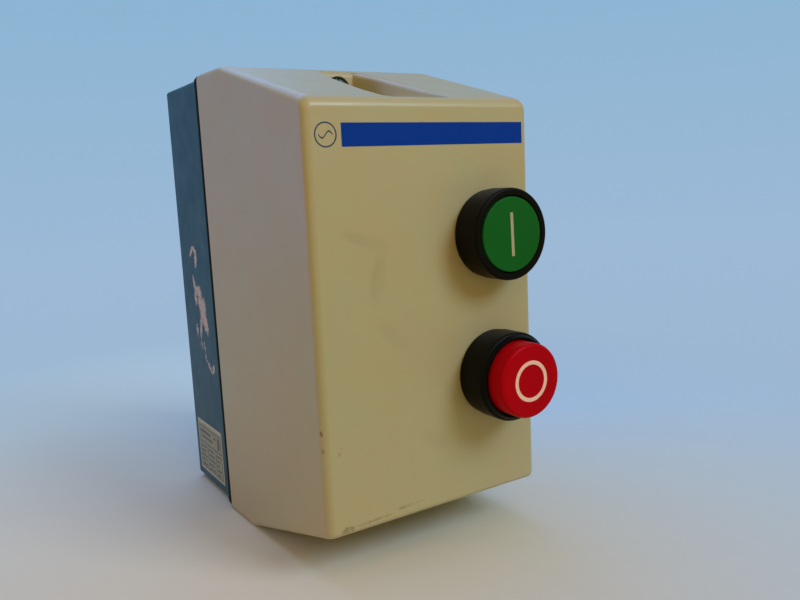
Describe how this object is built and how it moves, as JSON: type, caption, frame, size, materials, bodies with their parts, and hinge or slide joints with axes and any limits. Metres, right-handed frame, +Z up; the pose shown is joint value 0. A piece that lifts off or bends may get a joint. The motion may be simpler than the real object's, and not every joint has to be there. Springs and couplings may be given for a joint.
{
  "type": "magnetic motor starter",
  "caption": "Enclosed magnetic motor starter: wall box with a sloped cover, green start and red stop push buttons, with a contactor and an overload relay inside.",
  "frame": {"origin": "centre of the flat face of the base housing that goes against the wall", "axes": "+Z up; +Y from the front to the wall, normal to the wall face; +X to the right seen from the front, so the push buttons face -Y"},
  "size_m": [0.091, 0.1499, 0.172],
  "materials": {
    "beige_plastic": "satin moulded plastic",
    "slate_plastic": "satin moulded plastic",
    "black_plastic": "satin",
    "seal_rubber": "matte",
    "green_plastic": "semi-gloss",
    "red_plastic": "semi-gloss",
    "blue_plastic": "semi-gloss",
    "grey_plastic": "satin moulded plastic",
    "white_nylon": "satin",
    "zinc_steel": "zinc plated",
    "magnet_steel": "laminated",
    "brass": "satin",
    "copper": "satin copper",
    "winding_enamel": "enamelled copper wire"
  },
  "bodies": {
    "root": {"base_housing": "slate_plastic", "bimetal_strip_1": "brass", "bimetal_strip_2": "brass", "bimetal_strip_3": "brass", "coil_bobbin": "white_nylon", "coil_winding": "winding_enamel", "contactor_front_housing": "grey_plastic", "contactor_rear_housing": "black_plastic", "earth_screw": "zinc_steel", "earth_terminal": "brass", "fixed_core": "magnet_steel", "line_screw_1": "zinc_steel", "line_screw_2": "zinc_steel", "line_screw_3": "zinc_steel", "line_terminal_1": "copper", "line_terminal_2": "copper", "line_terminal_3": "copper", "load_screw_1": "zinc_steel", "load_screw_2": "zinc_steel", "load_screw_3": "zinc_steel", "load_terminal_1": "copper", "load_terminal_2": "copper", "load_terminal_3": "copper", "motor_screw_1": "zinc_steel", "motor_screw_2": "zinc_steel", "motor_screw_3": "zinc_steel", "mounting_rail": "zinc_steel", "rail_screw_left": "zinc_steel", "rail_screw_right": "zinc_steel", "relay_housing": "grey_plastic", "relay_prong_1": "copper", "relay_prong_2": "copper", "relay_prong_3": "copper", "return_spring": "zinc_steel", "seal_gasket": "seal_rubber", "start_block_housing": "grey_plastic"},
    "cover_assembly": {"cover": "beige_plastic", "start_bezel": "black_plastic", "start_spring": "zinc_steel", "start_nut": "black_plastic", "stop_bezel": "black_plastic", "stop_spring": "zinc_steel", "stop_nut": "black_plastic"},
    "top_cover_screw": {"cover_screw_top": "zinc_steel"},
    "bottom_cover_screw": {"cover_screw_bottom": "zinc_steel"},
    "start_button": {"start_cap": "green_plastic", "start_plunger": "black_plastic"},
    "stop_button": {"stop_cap": "red_plastic", "stop_plunger": "black_plastic"},
    "start_block_slider": {"start_block_plunger": "white_nylon", "start_block_bridge": "copper"},
    "contactor_carriage": {"armature": "magnet_steel", "contact_carrier": "white_nylon", "contact_bridge_1": "copper", "contact_bridge_2": "copper", "contact_bridge_3": "copper"},
    "relay_stop_slider": {"relay_stop_button": "red_plastic"},
    "relay_reset_slider": {"relay_reset_button": "blue_plastic"},
    "dial_turner": {"current_dial": "white_nylon"},
    "trip_slider": {"trip_bar": "white_nylon"}
  },
  "joints": [
    {"name": "cover_lift", "type": "slide", "parent": "root", "child": "cover_assembly", "axis": [0, -1, 0], "range_m": [0, 0.1]},
    {"name": "top_cover_screw_turn", "type": "hinge", "parent": "cover_assembly", "child": "top_cover_screw", "pos_m": [0, -0.0713, 0.0778], "axis": [0, -1, 0], "continuous": true},
    {"name": "bottom_cover_screw_turn", "type": "hinge", "parent": "cover_assembly", "child": "bottom_cover_screw", "pos_m": [0, -0.0713, -0.0778], "axis": [0, -1, 0], "continuous": true},
    {"name": "start_press", "type": "slide", "parent": "cover_assembly", "child": "start_button", "axis": [0, 1, 0], "range_m": [0, 0.004], "stiffness_N_per_m": 500, "springref_m": -0.002, "deforming": ["start_spring"]},
    {"name": "stop_press", "type": "slide", "parent": "cover_assembly", "child": "stop_button", "axis": [0, 1, 0], "range_m": [0, 0.0045], "stiffness_N_per_m": 600, "springref_m": -0.002, "deforming": ["stop_spring"]},
    {"name": "start_block_travel", "type": "slide", "parent": "root", "child": "start_block_slider", "axis": [0, 1, 0], "range_m": [0, 0.004]},
    {"name": "relay_stop_travel", "type": "slide", "parent": "root", "child": "relay_stop_slider", "axis": [0, 1, 0], "range_m": [0, 0.0045]},
    {"name": "relay_reset_travel", "type": "slide", "parent": "root", "child": "relay_reset_slider", "axis": [0, 1, 0], "range_m": [0, 0.0045]},
    {"name": "armature_pull_in", "type": "slide", "parent": "root", "child": "contactor_carriage", "axis": [0, 1, 0], "range_m": [0, 0.005], "stiffness_N_per_m": 400, "springref_m": -0.003, "deforming": ["return_spring"]},
    {"name": "current_dial_turn", "type": "hinge", "parent": "root", "child": "dial_turner", "pos_m": [0.005, -0.0864, -0.036], "axis": [0, -1, 0], "range_deg": [-135, 135]},
    {"name": "trip_bar_slide", "type": "slide", "parent": "root", "child": "trip_slider", "axis": [1, 0, 0], "range_m": [0, 0.002], "stiffness_N_per_m": 100}
  ],
  "couplings": [
    {"joint": "start_block_travel", "follows": "start_press", "ratio": 1},
    {"joint": "relay_stop_travel", "follows": "stop_press", "ratio": 1},
    {"joint": "relay_reset_travel", "follows": "stop_press", "ratio": 1}
  ]
}
